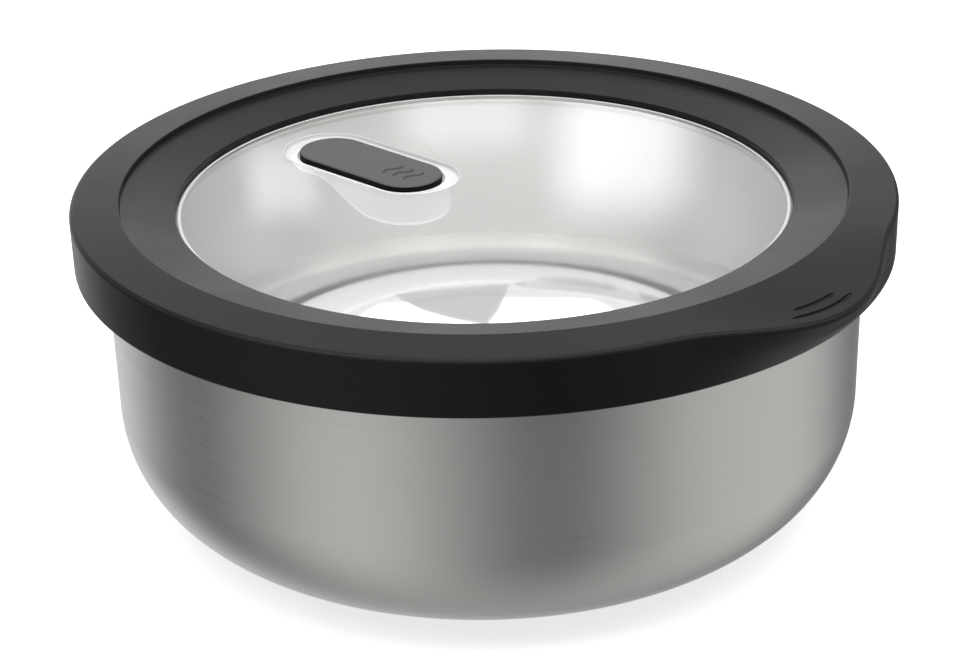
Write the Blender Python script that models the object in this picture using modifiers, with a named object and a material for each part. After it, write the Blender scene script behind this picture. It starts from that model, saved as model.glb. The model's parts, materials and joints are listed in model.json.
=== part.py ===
"""Round steel food container with a snap-on lid: clear window, soft rim, seal and a rocker steam vent.

Metres, +Z up. The base rests on z = 0 and the axis of the bowl is the Z axis.
The thumb tab of the lid points along -Y and the vent lies on the opposite side, along +Y.
"""
import math

import bmesh
import bpy

# Driving dimensions of the whole container
LID_RADIUS = 0.0900
TOTAL_HEIGHT = 0.0740
TURN_STEPS = 60
RIM_STEPS = 96
CLEARANCE = 0.0003

# Bowl: drawn steel, curled outward at the rim
STEEL = 0.0007
BOWL_RADIUS_TOP = 0.0830
BOWL_RADIUS_LOW = 0.0824
BOWL_CORNER = 0.0275
CURL_RADIUS = 0.0019
CURL_HEIGHT = 0.0646
CURL_END = -80.0
BASE_BEAD_RADIUS = 0.0455
BASE_BEAD_HALF_TOP = 0.0010
BASE_BEAD_SLOPE = 0.0013
BASE_BEAD_RISE = 0.0010

# Lid rim: soft dark ring moulded round the clear panel
SKIRT_BOTTOM = 0.0608
SKIRT_TAPER = 0.0002
SKIRT_INNER = 0.0876
EDGE_ROUND = 0.0026
OPENING_RADIUS = 0.0674
OPENING_TOP = 0.0707
CREASE_RADIUS = 0.0794
CREASE_STEP = 0.0013
CREASE_DRAFT = 0.0003
BAND_FALL = 0.00024
BAND_END_ANGLE = 80.0
SKIRT_EDGE = 0.0005
BEAD_RADIUS = 0.0867
BEAD_LOW = 0.0012
BEAD_FLAT = 0.0005
BEAD_SLOPE = 0.0009
RIM_UNDER_CREASE = (0.0005, -0.0008)
RIM_UNDER_STEP = 0.0009
RIM_LIP_LENGTH = 0.0012
RIM_LIP_TOP = 0.0001
RIM_LIP_BOTTOM = 0.0004

# Thumb tab on the rim and its two grip grooves
TAB_HALF_ANGLE = math.radians(24.0)
TAB_REACH = 0.0075
TAB_DROP = 0.0022
TAB_ROOT = 0.0800
TAB_BLEND = 0.0080
TAB_BLEND_HEIGHT = 0.0100
GROOVE_RADIUS = 0.0005
GROOVES = ((0.0859, math.radians(3.8)), (0.0873, math.radians(5.5)))
GROOVE_TURN = math.radians(-1.5)
GROOVE_POINTS = 9

# Clear panel of the lid
WINDOW_TOP = 0.0694
WINDOW_UNDERSIDE = 0.0671
PANEL_RADIUS = 0.0670
PANEL_STEP = 0.0008
PANEL_SHOULDER = (0.0688, 0.0690)
PANEL_RISE_START = (0.0788, 0.07075)
PANEL_RISE_END = 0.0803
FLANGE_RADIUS = 0.0872
FLANGE_TOP = 0.0720
CHANNEL_TOP = 0.0702
PLUG_OUTER = 0.0818
PLUG_WALL = 0.0016
PLUG_BOTTOM = 0.0640
PLUG_EDGE = 0.0006
PLUG_ROOT = 0.0690
PANEL_UNDER_RADIUS = 0.0690

# Seal ring in the channel of the panel
SEAL_INNER = 0.0821
SEAL_OUTER = 0.0866
SEAL_BOTTOM = 0.0668
SEAL_LIP = 0.0006
SEAL_DRAFT = 0.0002

# Vent: rocker, its border and the pocket that the pressed end dips into
ROCKER_NEAR = 0.0154
ROCKER_FAR = 0.0546
ROCKER_HALF_WIDTH = 0.0078
ROCKER_BOTTOM = 0.0676
ROCKER_TOP = 0.0697
ROCKER_GAP = 0.0006
ROCKER_EDGE = 0.0005
LUG_ROOT = 0.0008
TRAY_NEAR = 0.0112
TRAY_FAR = 0.0585
TRAY_HALF_WIDTH = 0.0104
TRAY_FLOOR = 0.0685
SHELL_NEAR = 0.0136
SHELL_FAR = 0.0564
SHELL_HALF_WIDTH = 0.0098
POCKET_FLOOR = 0.0602
POCKET_WALL = 0.0012
SEAT_FLOOR = 0.0661
RAMP_LOW_Y = 0.0265
RAMP_HIGH_Y = 0.0430
PIVOT_Y = 0.0400
PIVOT_Z = 0.0669
TRUNNION_RADIUS = 0.0009
TRUNNION_END = 0.0089
LUG_INNER = 0.0060
LUG_OUTER = 0.0074
LUG_HALF_LENGTH = 0.0016
LUG_BOTTOM = 0.0659
VENT_HOLE_Y = 0.0470
VENT_HOLE_RADIUS = 0.0016
VENT_HOLE_DEPTH = 0.0060
VENT_SEAL_RADIUS = 0.0036
VENT_STEM_RADIUS = 0.0013
VENT_STEM_TOP = 0.0686
VENT_SEAL_EDGE = 0.0003
VENT_SEAL_STEPS = 24
END_STEPS = 10
ROUND_SIDES = 16
OVERCUT = 0.0010

# Finishes: colour, roughness, metallic, transmission
FINISHES = {
    "steel": ((0.60, 0.60, 0.59), 0.32, 1.0, 0.0),
    "soft_rim": ((0.062, 0.062, 0.064), 0.62, 0.0, 0.0),
    "clear_panel": ((0.96, 0.97, 0.97), 0.05, 0.0, 1.0),
    "seal_silicone": ((0.78, 0.78, 0.76), 0.55, 0.0, 0.0),
    "vent_plastic": ((0.16, 0.16, 0.165), 0.48, 0.0, 0.0),
    "vent_silicone": ((0.30, 0.30, 0.30), 0.55, 0.0, 0.0),
}


def new_collection(name):
    """A collection in the scene for the parts or for the cutters."""
    collection = bpy.data.collections.new(name)
    bpy.context.scene.collection.children.link(collection)
    return collection


def finish(name):
    """Principled material of one sub-part."""
    colour, roughness, metallic, transmission = FINISHES[name]
    material = bpy.data.materials.new(name)
    material.use_nodes = True
    shader = material.node_tree.nodes["Principled BSDF"]
    shader.inputs["Base Color"].default_value = (*colour, 1.0)
    shader.inputs["Roughness"].default_value = roughness
    shader.inputs["Metallic"].default_value = metallic
    shader.inputs["Transmission Weight"].default_value = transmission
    return material


def add_object(name, mesh, collection):
    """Link a mesh as a named object."""
    obj = bpy.data.objects.new(name, mesh)
    collection.objects.link(obj)
    return obj


def add_empty(name, location, collection, parent=None):
    """A guide that moving pieces hang on, placed on their joint's axis."""
    empty = bpy.data.objects.new(name, None)
    empty.location = location
    empty.parent = parent
    collection.objects.link(empty)
    return empty


def smooth(obj, angle=30.0):
    """Shade a round piece smooth and keep its edges sharp."""
    obj.data.shade_smooth()
    obj.data.set_sharp_from_angle(angle=math.radians(angle))


def as_cutter(obj):
    """Mark a shape that only cuts or joins others."""
    obj.hide_render = True
    obj.display_type = "WIRE"
    return obj


def arc(centre_r, centre_z, radius, start, end, steps):
    """Points of a round stretch of a profile, angles in degrees from +R towards +Z."""
    points = []
    for index in range(steps + 1):
        angle = math.radians(start + (end - start) * index / steps)
        points.append((centre_r + radius * math.cos(angle), centre_z + radius * math.sin(angle)))
    return points


def turned(name, profile, closed, steps, collection):
    """Turn a profile of (radius, height) points round the Z axis."""
    count = len(profile)
    edges = [(i, i + 1) for i in range(count - 1)]
    if closed:
        edges.append((count - 1, 0))
    mesh = bpy.data.meshes.new(name)
    mesh.from_pydata([(r, 0.0, z) for r, z in profile], edges, [])
    obj = add_object(name, mesh, collection)
    screw = obj.modifiers.new("turn", "SCREW")
    screw.axis = "Z"
    screw.steps = steps
    screw.render_steps = steps
    screw.use_merge_vertices = True
    screw.merge_threshold = 0.00001
    screw.use_smooth_shade = True
    return obj


def baked(obj, name, collection):
    """A mesh object with the shape that the given object evaluates to."""
    evaluated = obj.evaluated_get(bpy.context.evaluated_depsgraph_get())
    mesh = bpy.data.meshes.new_from_object(evaluated)
    shape = bmesh.new()
    shape.from_mesh(mesh)
    bmesh.ops.remove_doubles(shape, verts=shape.verts, dist=0.000001)
    bmesh.ops.recalc_face_normals(shape, faces=shape.faces)
    shape.to_mesh(mesh)
    shape.free()
    matrix = obj.matrix_world.copy()
    bpy.data.objects.remove(obj)
    result = add_object(name, mesh, collection)
    result.matrix_world = matrix
    return result


def prism(name, outline, low, high, collection):
    """An outline in the XY plane as a solid from one height to another."""
    curve = bpy.data.curves.new(name + "_outline", "CURVE")
    curve.dimensions = "2D"
    curve.fill_mode = "BOTH"
    curve.extrude = (high - low) / 2
    spline = curve.splines.new("POLY")
    spline.points.add(len(outline) - 1)
    for point, (x, y) in zip(spline.points, outline):
        point.co = (x, y, 0.0, 1.0)
    spline.use_cyclic_u = True
    guide = add_object(name + "_outline", curve, collection)
    guide.location = (0.0, 0.0, (low + high) / 2)
    bpy.context.view_layer.update()
    return baked(guide, name, collection)


def stadium(half_width, near, far):
    """Outline of a slot with round ends, lying along Y."""
    points = []
    for centre, start in ((far - half_width, 0.0), (near + half_width, math.pi)):
        for index in range(END_STEPS + 1):
            angle = start + math.pi * index / END_STEPS
            points.append((half_width * math.cos(angle), centre + half_width * math.sin(angle)))
    return points


def side_prism(name, outline, half_width, collection):
    """An outline in the YZ plane as a solid across X."""
    solid = prism(name, outline, -half_width, half_width, collection)
    for vertex in solid.data.vertices:
        y, z, x = vertex.co
        vertex.co = (x, y, z)
    return solid


def cylinder(name, radius, centre, depth, axis, sides, collection):
    """A round bar with its middle at centre, along X or Z."""
    shape = bmesh.new()
    bmesh.ops.create_cone(shape, cap_ends=True, segments=sides, radius1=radius, radius2=radius, depth=depth)
    mesh = bpy.data.meshes.new(name)
    shape.to_mesh(mesh)
    shape.free()
    obj = add_object(name, mesh, collection)
    obj.location = centre
    if axis == "X":
        obj.rotation_euler = (0.0, math.radians(90.0), 0.0)
    return obj


def box(name, low, high, collection):
    """A block between two corners."""
    shape = bmesh.new()
    bmesh.ops.create_cube(shape, size=1.0)
    mesh = bpy.data.meshes.new(name)
    for vertex in shape.verts:
        vertex.co = [a + (b - a) * (c + 0.5) for a, b, c in zip(low, high, vertex.co)]
    shape.to_mesh(mesh)
    shape.free()
    return add_object(name, mesh, collection)


def combine(target, tool, operation):
    """Join a tool to the target, cut it out or keep what both share."""
    modifier = target.modifiers.new(operation.lower() + "_" + tool.name, "BOOLEAN")
    modifier.operation = operation
    modifier.object = tool
    modifier.solver = "EXACT"
    as_cutter(tool)


def base_bead(height):
    """Points of the ring pressed up out of the base, on its upper or lower face, from the outside in."""
    wide = BASE_BEAD_HALF_TOP + BASE_BEAD_SLOPE
    return [
        (BASE_BEAD_RADIUS + wide, height),
        (BASE_BEAD_RADIUS + BASE_BEAD_HALF_TOP, height + BASE_BEAD_RISE),
        (BASE_BEAD_RADIUS - BASE_BEAD_HALF_TOP, height + BASE_BEAD_RISE),
        (BASE_BEAD_RADIUS - wide, height),
        (0.0, height),
    ]


def bowl_profile():
    """Inside of the bowl from the axis up to the curl, then the outside back down to the axis."""
    corner_centre = BOWL_RADIUS_LOW - BOWL_CORNER
    curl_centre = BOWL_RADIUS_TOP - STEEL + CURL_RADIUS
    floor = base_bead(STEEL)[::-1]
    inner_corner = arc(corner_centre, BOWL_CORNER, BOWL_CORNER - STEEL, -90.0, 0.0, 9)
    curl_out = arc(curl_centre, CURL_HEIGHT, CURL_RADIUS, 180.0, CURL_END, 11)
    curl_back = arc(curl_centre, CURL_HEIGHT, CURL_RADIUS - STEEL, CURL_END, 180.0, 9)
    outer_corner = arc(corner_centre, BOWL_CORNER, BOWL_CORNER, 0.0, -90.0, 10)
    return floor + inner_corner + curl_out + curl_back + outer_corner + base_bead(0.0)


def make_bowl(parts):
    """Drawn steel bowl, one wall thick, with a curled rim and a ring pressed into its base."""
    bowl = turned("bowl", bowl_profile(), False, TURN_STEPS, parts)
    bowl.data.materials.append(finish("steel"))
    return bowl


def rim_profile():
    """Section of the soft rim: inner band, crease, outer band, skirt, snap bead and underside."""
    band_end = TOTAL_HEIGHT - BAND_FALL
    edge_r = LID_RADIUS - EDGE_ROUND
    edge_z = band_end - EDGE_ROUND * math.sin(math.radians(BAND_END_ANGLE))
    band = [
        (OPENING_RADIUS, OPENING_TOP),
        (CREASE_RADIUS - CREASE_DRAFT, TOTAL_HEIGHT - CREASE_STEP),
    ]
    for share in (0.0, 1 / 3, 2 / 3):
        band.append((CREASE_RADIUS + share * (edge_r - CREASE_RADIUS), TOTAL_HEIGHT - share * BAND_FALL))
    edge = arc(edge_r, edge_z, EDGE_ROUND, BAND_END_ANGLE, 0.0, 4)
    skirt = [
        (LID_RADIUS - SKIRT_TAPER / 2, (edge_z + SKIRT_BOTTOM) / 2),
        (LID_RADIUS - SKIRT_TAPER, SKIRT_BOTTOM + SKIRT_EDGE),
        (LID_RADIUS - SKIRT_TAPER - SKIRT_EDGE, SKIRT_BOTTOM),
        (SKIRT_INNER + SKIRT_EDGE, SKIRT_BOTTOM),
        (SKIRT_INNER, SKIRT_BOTTOM + SKIRT_EDGE),
    ]
    bead = [
        (BEAD_RADIUS, SKIRT_BOTTOM + BEAD_LOW),
        (BEAD_RADIUS, SKIRT_BOTTOM + BEAD_LOW + BEAD_FLAT),
        (SKIRT_INNER, SKIRT_BOTTOM + BEAD_LOW + BEAD_FLAT + BEAD_SLOPE),
    ]
    underside = [
        (SKIRT_INNER, FLANGE_TOP + CLEARANCE),
        (CREASE_RADIUS + RIM_UNDER_CREASE[0], FLANGE_TOP + CLEARANCE),
        (CREASE_RADIUS + RIM_UNDER_CREASE[1], FLANGE_TOP - RIM_UNDER_STEP),
        (OPENING_RADIUS + RIM_LIP_LENGTH, WINDOW_TOP - RIM_LIP_TOP),
        (OPENING_RADIUS, WINDOW_TOP - RIM_LIP_BOTTOM),
    ]
    return band + edge + skirt + bead + underside


def tab_shift(radius, height, angle):
    """How far a point of the rim moves outward and down for the thumb tab."""
    on_outside = height > FLANGE_TOP + 2 * CLEARANCE or radius > SKIRT_INNER + 2 * SKIRT_EDGE
    if not on_outside or abs(angle) >= TAB_HALF_ANGLE:
        return 0.0, 0.0
    swell = math.cos(0.5 * math.pi * angle / TAB_HALF_ANGLE) ** 2
    outward = min(max((radius - TAB_ROOT) / TAB_BLEND, 0.0), 1.0)
    upward = min(max((height - SKIRT_BOTTOM) / TAB_BLEND_HEIGHT, 0.0), 1.0)
    weight = swell * outward * upward
    return TAB_REACH * weight, TAB_DROP * weight


def groove(name, radius, half_angle, tools):
    """Round-bottomed groove along the thumb tab's top; the radius is that before the tab is drawn out."""
    curve = bpy.data.curves.new(name, "CURVE")
    curve.dimensions = "3D"
    curve.bevel_depth = GROOVE_RADIUS
    curve.bevel_resolution = 1
    curve.use_fill_caps = True
    spline = curve.splines.new("POLY")
    spline.points.add(GROOVE_POINTS - 1)
    for index, point in enumerate(spline.points):
        angle = GROOVE_TURN + half_angle * (2 * index / (GROOVE_POINTS - 1) - 1)
        out, down = tab_shift(radius, TOTAL_HEIGHT, angle)
        reach = radius + out
        point.co = (reach * math.sin(angle), -reach * math.cos(angle), TOTAL_HEIGHT - BAND_FALL - down, 1.0)
    guide = add_object(name + "_path", curve, tools)
    bpy.context.view_layer.update()
    return baked(guide, name, tools)


def make_rim(parts, tools):
    """Soft rim ring with its thumb tab drawn out of the outer edge."""
    ring = turned("lid_rim_ring", rim_profile(), True, RIM_STEPS, tools)
    bpy.context.view_layer.update()
    rim = baked(ring, "lid_rim", parts)
    for vertex in rim.data.vertices:
        radius = math.hypot(vertex.co.x, vertex.co.y)
        angle = math.atan2(vertex.co.x, -vertex.co.y)
        out, down = tab_shift(radius, vertex.co.z, angle)
        scale = (radius + out) / radius
        vertex.co = (vertex.co.x * scale, vertex.co.y * scale, vertex.co.z - down)
    for index, (radius, half_angle) in enumerate(GROOVES):
        cutter = groove("grip_groove_%d" % (index + 1), radius, half_angle, tools)
        combine(rim, cutter, "DIFFERENCE")
    smooth(rim)
    rim.data.materials.append(finish("soft_rim"))
    return rim


def panel_profile():
    """Section of the clear panel: window, raised flange, seal channel and the plug inside the bowl."""
    return [
        (0.0, WINDOW_TOP),
        (PANEL_RADIUS, WINDOW_TOP),
        (PANEL_RADIUS, WINDOW_TOP - PANEL_STEP),
        PANEL_SHOULDER,
        PANEL_RISE_START,
        (PANEL_RISE_END, FLANGE_TOP),
        (FLANGE_RADIUS, FLANGE_TOP),
        (FLANGE_RADIUS, CHANNEL_TOP),
        (PLUG_OUTER, CHANNEL_TOP),
        (PLUG_OUTER, PLUG_BOTTOM + PLUG_EDGE),
        (PLUG_OUTER - PLUG_EDGE, PLUG_BOTTOM),
        (PLUG_OUTER - PLUG_WALL, PLUG_BOTTOM),
        (PLUG_OUTER - PLUG_WALL, PLUG_ROOT),
        (PANEL_UNDER_RADIUS, WINDOW_UNDERSIDE),
        (0.0, WINDOW_UNDERSIDE),
    ]


def pocket_block(name, half_width, near, far, floor, seat, top, tools):
    """Slot-shaped block whose underside is low near the axis and ramps up to the seat."""
    outline = [
        (near - OVERCUT, top),
        (near - OVERCUT, floor),
        (RAMP_LOW_Y, floor),
        (RAMP_HIGH_Y, seat),
        (far + OVERCUT, seat),
        (far + OVERCUT, top),
    ]
    block = side_prism(name, outline, half_width + OVERCUT, tools)
    slot = stadium(half_width, near, far)
    plan = prism(name + "_plan", slot, floor - OVERCUT, top + OVERCUT, tools)
    combine(block, plan, "INTERSECT")
    return as_cutter(block)


def make_window(parts, tools):
    """Clear panel with the shallow tray, pocket, vent hole and pivot sockets of the steam vent."""
    window = turned("lid_window", panel_profile(), False, TURN_STEPS, parts)
    tray_outline = stadium(TRAY_HALF_WIDTH, TRAY_NEAR, TRAY_FAR)
    tray = prism("vent_tray", tray_outline, TRAY_FLOOR, WINDOW_TOP + OVERCUT, tools)
    shell = pocket_block("vent_shell", SHELL_HALF_WIDTH, SHELL_NEAR, SHELL_FAR, POCKET_FLOOR - POCKET_WALL,
                         SEAT_FLOOR - POCKET_WALL, TRAY_FLOOR - OVERCUT / 2, tools)
    cavity = pocket_block("vent_cavity", ROCKER_HALF_WIDTH + ROCKER_GAP, ROCKER_NEAR - ROCKER_GAP,
                          ROCKER_FAR + ROCKER_GAP, POCKET_FLOOR, SEAT_FLOOR, WINDOW_TOP + OVERCUT, tools)
    hole = cylinder("vent_hole", VENT_HOLE_RADIUS, (0.0, VENT_HOLE_Y, SEAT_FLOOR),
                    VENT_HOLE_DEPTH, "Z", ROUND_SIDES, tools)
    sockets = cylinder("pivot_sockets", TRUNNION_RADIUS + CLEARANCE, (0.0, PIVOT_Y, PIVOT_Z),
                       2 * (TRUNNION_END + CLEARANCE), "X", ROUND_SIDES, tools)
    combine(window, shell, "UNION")
    combine(window, tray, "DIFFERENCE")
    combine(window, cavity, "DIFFERENCE")
    combine(window, hole, "DIFFERENCE")
    combine(window, sockets, "DIFFERENCE")
    window.data.materials.append(finish("clear_panel"))
    return window


def make_lid_seal(parts):
    """Silicone ring in the channel over the curled rim, with two sealing lips."""
    top = CHANNEL_TOP - CLEARANCE
    profile = [
        (SEAL_INNER + SEAL_DRAFT, top),
        (SEAL_OUTER - SEAL_DRAFT, top),
        (SEAL_OUTER, SEAL_BOTTOM + SEAL_LIP),
        (SEAL_OUTER - SEAL_LIP, SEAL_BOTTOM),
        (SEAL_OUTER - 2 * SEAL_LIP, SEAL_BOTTOM + SEAL_LIP),
        (SEAL_INNER + 2 * SEAL_LIP, SEAL_BOTTOM + SEAL_LIP),
        (SEAL_INNER + SEAL_LIP, SEAL_BOTTOM),
        (SEAL_INNER, SEAL_BOTTOM + SEAL_LIP),
    ]
    seal = turned("lid_seal", profile, True, TURN_STEPS, parts)
    seal.data.materials.append(finish("seal_silicone"))
    return seal


def make_rocker(parts, tools):
    """Pill-shaped rocker with lugs and trunnions under it and a blind hole for the vent seal."""
    outline = stadium(ROCKER_HALF_WIDTH, ROCKER_NEAR, ROCKER_FAR)
    rocker = prism("vent_rocker", outline, ROCKER_BOTTOM, ROCKER_TOP, parts)
    bevel = rocker.modifiers.new("rounded_edges", "BEVEL")
    bevel.width = ROCKER_EDGE
    bevel.segments = 2
    bevel.limit_method = "ANGLE"
    bevel.angle_limit = math.radians(60.0)
    for side, label in ((-1, "left"), (1, "right")):
        inner = side * LUG_INNER
        outer = side * LUG_OUTER
        low = (min(inner, outer), PIVOT_Y - LUG_HALF_LENGTH, LUG_BOTTOM)
        high = (max(inner, outer), PIVOT_Y + LUG_HALF_LENGTH, ROCKER_BOTTOM + LUG_ROOT)
        combine(rocker, box("lug_" + label, low, high, tools), "UNION")
        length = TRUNNION_END - LUG_INNER
        middle = side * (TRUNNION_END + LUG_INNER) / 2
        trunnion = cylinder("trunnion_" + label, TRUNNION_RADIUS, (middle, PIVOT_Y, PIVOT_Z),
                            length, "X", ROUND_SIDES, tools)
        combine(rocker, trunnion, "UNION")
    stem_hole = cylinder("stem_hole", VENT_STEM_RADIUS + CLEARANCE, (0.0, VENT_HOLE_Y, ROCKER_BOTTOM),
                         2 * (VENT_STEM_TOP + CLEARANCE - ROCKER_BOTTOM), "Z", ROUND_SIDES, tools)
    combine(rocker, stem_hole, "DIFFERENCE")
    rocker.data.materials.append(finish("vent_plastic"))
    return rocker


def make_vent_seal(parts):
    """Silicone button under the rocker that closes the vent hole, with its stem in the rocker."""
    bottom = SEAT_FLOOR + CLEARANCE
    top = ROCKER_BOTTOM - CLEARANCE
    profile = [
        (0.0, VENT_STEM_TOP),
        (VENT_STEM_RADIUS - VENT_SEAL_EDGE, VENT_STEM_TOP),
        (VENT_STEM_RADIUS, VENT_STEM_TOP - VENT_SEAL_EDGE),
        (VENT_STEM_RADIUS, top),
        (VENT_SEAL_RADIUS - VENT_SEAL_EDGE, top),
        (VENT_SEAL_RADIUS, (top + bottom) / 2),
        (VENT_SEAL_RADIUS - VENT_SEAL_EDGE, bottom),
        (0.0, bottom),
    ]
    seal = turned("vent_seal", profile, False, VENT_SEAL_STEPS, parts)
    seal.location = (0.0, VENT_HOLE_Y, 0.0)
    seal.data.materials.append(finish("vent_silicone"))
    return seal


def hang_on(piece, empty):
    """Parent a piece to a joint's empty and leave it where it is."""
    bpy.context.view_layer.update()
    piece.parent = empty
    piece.matrix_parent_inverse = empty.matrix_world.inverted()


def main():
    for obj in list(bpy.data.objects):
        bpy.data.objects.remove(obj)
    parts = new_collection("food_storage_container")
    tools = new_collection("cutters")
    make_bowl(parts)
    lid_axis = add_empty("lid_axis", (0.0, 0.0, SKIRT_BOTTOM), parts)
    for piece in (make_rim(parts, tools), make_window(parts, tools), make_lid_seal(parts)):
        hang_on(piece, lid_axis)
    pivot = (0.0, PIVOT_Y, PIVOT_Z - SKIRT_BOTTOM)
    vent_axis = add_empty("vent_axis", pivot, parts, lid_axis)
    for piece in (make_rocker(parts, tools), make_vent_seal(parts)):
        hang_on(piece, vent_axis)


main()
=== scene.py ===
"""Round steel food container with a snap-on lid: clear window, soft rim, seal ring and rocker steam vent.

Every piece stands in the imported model's frame, in metres: base on z = 0, thumb tab along -Y, vent along +Y.
"""
import json
import math

import bmesh
import bpy
from bpy.props import FloatProperty, FloatVectorProperty, PointerProperty
from mathutils import Matrix, Vector


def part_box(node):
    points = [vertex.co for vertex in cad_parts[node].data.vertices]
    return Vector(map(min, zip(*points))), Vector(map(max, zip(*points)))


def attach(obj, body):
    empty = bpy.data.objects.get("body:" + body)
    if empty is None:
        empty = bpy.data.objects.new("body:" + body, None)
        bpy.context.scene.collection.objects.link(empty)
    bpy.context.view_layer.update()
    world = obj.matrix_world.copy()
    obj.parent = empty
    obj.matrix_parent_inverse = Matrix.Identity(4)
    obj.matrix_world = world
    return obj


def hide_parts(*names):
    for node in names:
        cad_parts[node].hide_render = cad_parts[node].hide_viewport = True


bl_info = {
    "name": "Steel food container",
    "version": (1, 0, 0),
    "blender": (4, 5, 0),
    "location": "View3D > Sidebar > Container",
    "description": "Round steel food container with a vented snap-on lid",
    "category": "Add Mesh",
}

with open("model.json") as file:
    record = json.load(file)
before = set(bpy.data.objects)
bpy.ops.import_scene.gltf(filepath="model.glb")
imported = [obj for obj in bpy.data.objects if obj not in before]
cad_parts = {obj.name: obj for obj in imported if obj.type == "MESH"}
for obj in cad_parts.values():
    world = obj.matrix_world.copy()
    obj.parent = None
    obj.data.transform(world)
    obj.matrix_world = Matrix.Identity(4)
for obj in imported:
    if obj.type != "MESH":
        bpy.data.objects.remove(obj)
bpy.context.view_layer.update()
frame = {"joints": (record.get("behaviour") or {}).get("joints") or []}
BOWL_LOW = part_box("bowl")[0]
RIM_LOW, RIM_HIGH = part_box("lid_rim")
ROCKER_LOW, ROCKER_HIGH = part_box("vent_rocker")
SEAL_LOW, SEAL_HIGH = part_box("lid_seal")

MM = 0.001
CLEARANCE = 0.3 * MM

# Places that more than one piece keeps to: the rocker's pivot, the vent hole, its seat and the lid's flange
PIVOT_Y, PIVOT_Z = next(joint["pos_m"][1:] for joint in frame["joints"] if joint["name"] == "vent_tilt")
VENT_HOLE_Y = 47.0 * MM
VENT_SEAT = 66.1 * MM
FLANGE_TOP = 72.0 * MM
FLANGE_UNDERSIDE = 70.2 * MM


def linear(hex_colour):
    """Turn an sRGB hex colour into the linear colour that Blender keeps."""
    values = []
    for start in (1, 3, 5):
        share = int(hex_colour[start:start + 2], 16) / 255
        values.append(share / 12.92 if share <= 0.04045 else ((share + 0.055) / 1.055) ** 2.4)
    return (*values, 1.0)


def length(name, description, default):
    """A size that a user may change."""
    return FloatProperty(name=name, description=description, unit="LENGTH", min=0.0, precision=5,
                         default=default)


def colour(name, description, hex_colour):
    """A colour that a user may change."""
    return FloatVectorProperty(name=name, description=description, size=4, subtype="COLOR", min=0.0, max=1.0,
                               default=linear(hex_colour))


class BowlSettings(bpy.types.PropertyGroup):
    """Sizes of the drawn steel bowl."""
    wall: length("Wall", "Thickness of the steel", 0.7 * MM)
    top_radius: length("Top radius", "Outer radius below the curled rim", 83.0 * MM)
    low_radius: length("Low radius", "Outer radius above the rounded corner", 82.4 * MM)
    corner: length("Corner", "Outer radius of the rounded corner", 27.5 * MM)
    curl: length("Curl", "Outer radius of the curled rim", 1.9 * MM)
    curl_height: length("Curl height", "Height of the middle of the curl", 64.6 * MM)
    bead_radius: length("Base ring", "Radius of the ring pressed into the base", 45.5 * MM)
    bead_rise: length("Base ring rise", "How far the ring stands up from the base", 1.0 * MM)


class RimSettings(bpy.types.PropertyGroup):
    """Sizes of the soft rim and its thumb tab."""
    radius: length("Radius", "Outer radius of the rim", RIM_HIGH[0])
    top: length("Top", "Height of the highest ring of the rim", RIM_HIGH[2])
    bottom: length("Bottom", "Height of the lower edge of the skirt", RIM_LOW[2])
    edge: length("Edge", "Radius of the rounded outer edge", 1.2 * MM)
    opening: length("Opening", "Radius of the opening over the window", 67.4 * MM)
    opening_top: length("Opening top", "Height of the edge round the window", 70.7 * MM)
    crease: length("Crease", "Radius of the step between the two bands", 79.4 * MM)
    crease_step: length("Crease step", "Height of the step between the two bands", 1.3 * MM)
    band_fall: length("Band fall", "How far the outer band falls towards the outer edge", 0.7 * MM)
    tab_reach: length("Tab reach", "How far the thumb tab stands out", -RIM_LOW[1] - RIM_HIGH[0])
    tab_drop: length("Tab drop", "How far the thumb tab bends down", 2.2 * MM)


class LidSettings(bpy.types.PropertyGroup):
    """Sizes of the clear panel."""
    top: length("Window top", "Height of the top of the clear window", 69.4 * MM)
    plate_radius: length("Plate radius", "Radius of the raised plate", 67.0 * MM)
    # The milky band at the plate's edge is a painted highlight along the window's edge
    painted_highlight_band: length("Edge band", "Width of the milky band at the plate's edge", 0.8 * MM)
    underside: length("Window underside", "Height of the underside of the clear window", 67.1 * MM)
    plug_radius: length("Plug radius", "Outer radius of the ring that sits inside the bowl", 81.8 * MM)
    plug_bottom: length("Plug bottom", "Height of the lower edge of that ring", 64.0 * MM)
    flange_radius: length("Flange radius", "Outer radius of the flange under the rim", 87.2 * MM)


class VentSettings(bpy.types.PropertyGroup):
    """Sizes of the steam vent."""
    half_width: length("Half width", "Half the width of the rocker", 7.8 * MM)
    near: length("Inner end", "Distance from the axis to the rocker's inner end", ROCKER_LOW[1])
    far: length("Outer end", "Distance from the axis to the rocker's outer end", ROCKER_HIGH[1])
    top: length("Top", "Height of the top of the rocker", ROCKER_HIGH[2])
    ledge: length("Ledge", "Width of the tray's ledge beside the rocker", 2.6 * MM)
    tray_floor: length("Tray floor", "Height of the tray's ledge", 68.5 * MM)
    pocket_floor: length("Pocket floor", "Height of the floor of the pocket", 60.2 * MM)


class FinishSettings(bpy.types.PropertyGroup):
    """Colours of the finishes."""
    steel_outside: colour("Brushed steel", "Outside of the bowl", "#cfcecb")
    steel_inside: colour("Polished steel", "Inside of the bowl", "#fafaf8")
    rim: colour("Rim", "Bands on top of the soft rim", "#0f0f10")
    # The rim side is the same rubber with less gloss: painted shade on the skirt, edges and steps
    rim_painted_shade_side: colour("Rim side", "Skirt, edges and steps of the rim", "#151516")
    window: colour("Window", "Clear panel of the lid", "#fcfdfd")
    seal: colour("Seal", "Seal ring of the lid", "#e4e3e0")
    rocker: colour("Rocker", "Top of the vent rocker", "#525253")
    # The near-black rocker side is painted shade on the same grey plastic as the top
    rocker_painted_shade_side: colour("Rocker side", "Sides of the vent rocker", "#0d0d0e")
    mark: colour("Mark", "Steam mark on the rocker", "#39393a")
    vent_seal: colour("Vent seal", "Button under the rocker", "#8f8f8e")


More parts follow.
